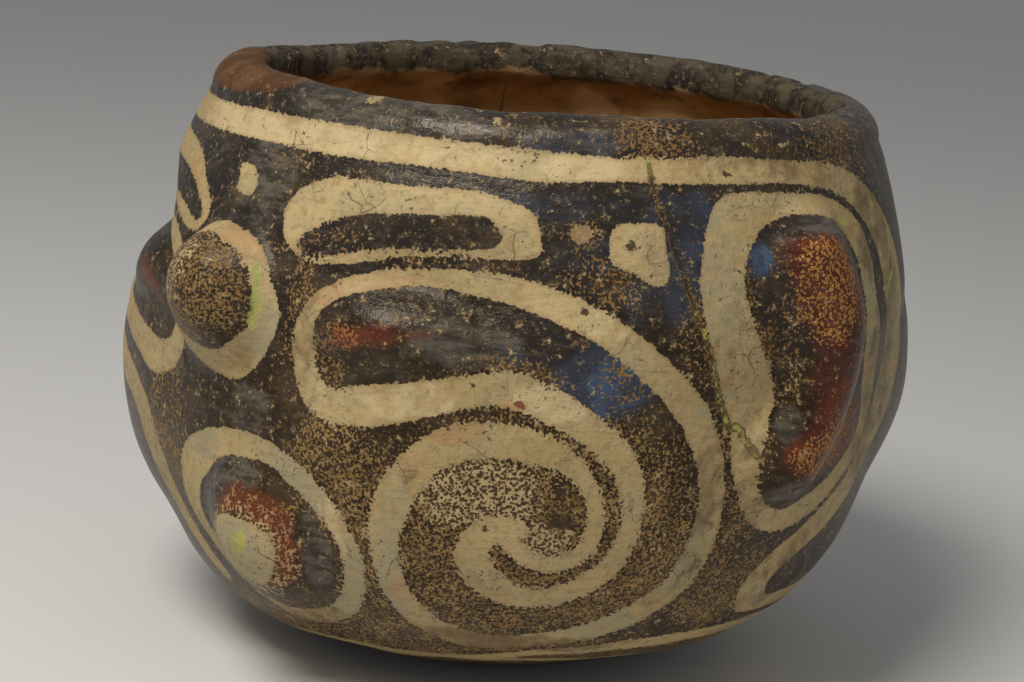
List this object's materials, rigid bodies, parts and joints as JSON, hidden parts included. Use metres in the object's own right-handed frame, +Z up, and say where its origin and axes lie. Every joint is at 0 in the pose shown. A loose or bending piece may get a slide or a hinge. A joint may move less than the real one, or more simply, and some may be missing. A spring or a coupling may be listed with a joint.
{
  "type": "painted pottery vase",
  "caption": "Wide-mouthed hand-built pottery jar on a small flat foot, with modelled face bosses under painted spirals and bands.",
  "frame": {"origin": "centre of the flat foot, on the surface that the jar stands on", "axes": "+Z up through the mouth, -Y the side that the picture sees, +X to the picture's right"},
  "size_m": [0.2506, 0.2402, 0.1822],
  "materials": {
    "painted_clay": "dark brown slip painted in cream, burnished to a satin gloss, orange-brown inside"
  },
  "bodies": {
    "root": {"painted_vase": "painted_clay"}
  },
  "joints": []
}
